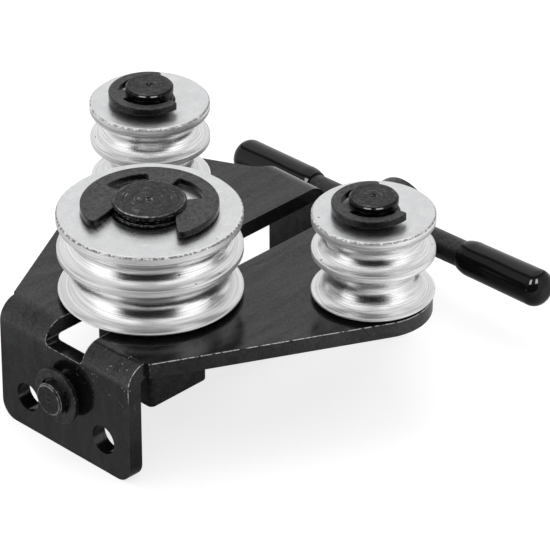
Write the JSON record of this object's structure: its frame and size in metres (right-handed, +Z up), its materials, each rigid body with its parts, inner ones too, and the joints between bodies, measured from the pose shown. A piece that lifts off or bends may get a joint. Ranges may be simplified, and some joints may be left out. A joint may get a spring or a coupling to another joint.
{
  "type": "brake pipe bender",
  "caption": "Bench bender for brake pipe: a screw with a sliding cross handle draws a grooved former between grooved rollers on a bent plate.",
  "frame": {"origin": "midway between the two mounting holes, on the front flange's outer face", "axes": "+X along the screw from the front flange to the cross handle, +Z up through the plate towards the rollers, +Y to the left"},
  "size_m": [0.1238, 0.1073, 0.0593],
  "materials": {
    "black_paint": "gloss black paint on steel",
    "black_steel": "black oxide, satin",
    "spring_steel": "phosphated spring steel, satin",
    "plated_washer": "dull plated steel",
    "turned_aluminium": "turned and tumbled, fine tool marks",
    "screw_steel": "oiled black oxide",
    "black_vinyl": "dipped soft vinyl, gloss"
  },
  "bodies": {
    "frame": {"base_plate": "black_paint", "left_roller_pin": "black_steel", "right_roller_pin": "black_steel", "left_roller_washer": "plated_washer", "right_roller_washer": "plated_washer", "left_roller_clip": "spring_steel", "right_roller_clip": "spring_steel"},
    "left_roller_body": {"left_roller": "turned_aluminium"},
    "right_roller_body": {"right_roller": "turned_aluminium"},
    "carriage": {"carriage_block": "black_steel", "former_pin": "black_steel", "former_washer": "plated_washer", "former_clip": "spring_steel"},
    "former_body": {"former_roller": "turned_aluminium"},
    "spindle": {"feed_screw": "screw_steel", "spindle_clip": "spring_steel", "handle_hub": "black_steel", "hub_spring_pin": "spring_steel", "thrust_washer": "plated_washer"},
    "handle": {"tommy_bar": "black_steel", "left_grip": "black_vinyl", "right_grip": "black_vinyl"}
  },
  "joints": [
    {"name": "spindle_turn", "type": "hinge", "parent": "frame", "child": "spindle", "pos_m": [0, 0, 0.00757], "axis": [-1, 0, 0], "range_deg": [-3440, 12640]},
    {"name": "carriage_slide", "type": "slide", "parent": "frame", "child": "carriage", "axis": [1, 0, 0], "range_m": [-0.0143, 0.0526]},
    {"name": "former_spin", "type": "hinge", "parent": "carriage", "child": "former_body", "pos_m": [0.029, 0, 0.0352], "axis": [0, 0, 1], "continuous": true},
    {"name": "left_roller_spin", "type": "hinge", "parent": "frame", "child": "left_roller_body", "pos_m": [0.066, 0.03865, 0.0352], "axis": [0, 0, 1], "continuous": true},
    {"name": "right_roller_spin", "type": "hinge", "parent": "frame", "child": "right_roller_body", "pos_m": [0.066, -0.03865, 0.0352], "axis": [0, 0, 1], "continuous": true},
    {"name": "bar_slide", "type": "slide", "parent": "spindle", "child": "handle", "axis": [0, 0.9994, -0.0349], "range_m": [-0.0165, 0.0161]}
  ],
  "couplings": [
    {"joint": "spindle_turn", "follows": "carriage_slide", "rad_per_m": 4188.8}
  ]
}
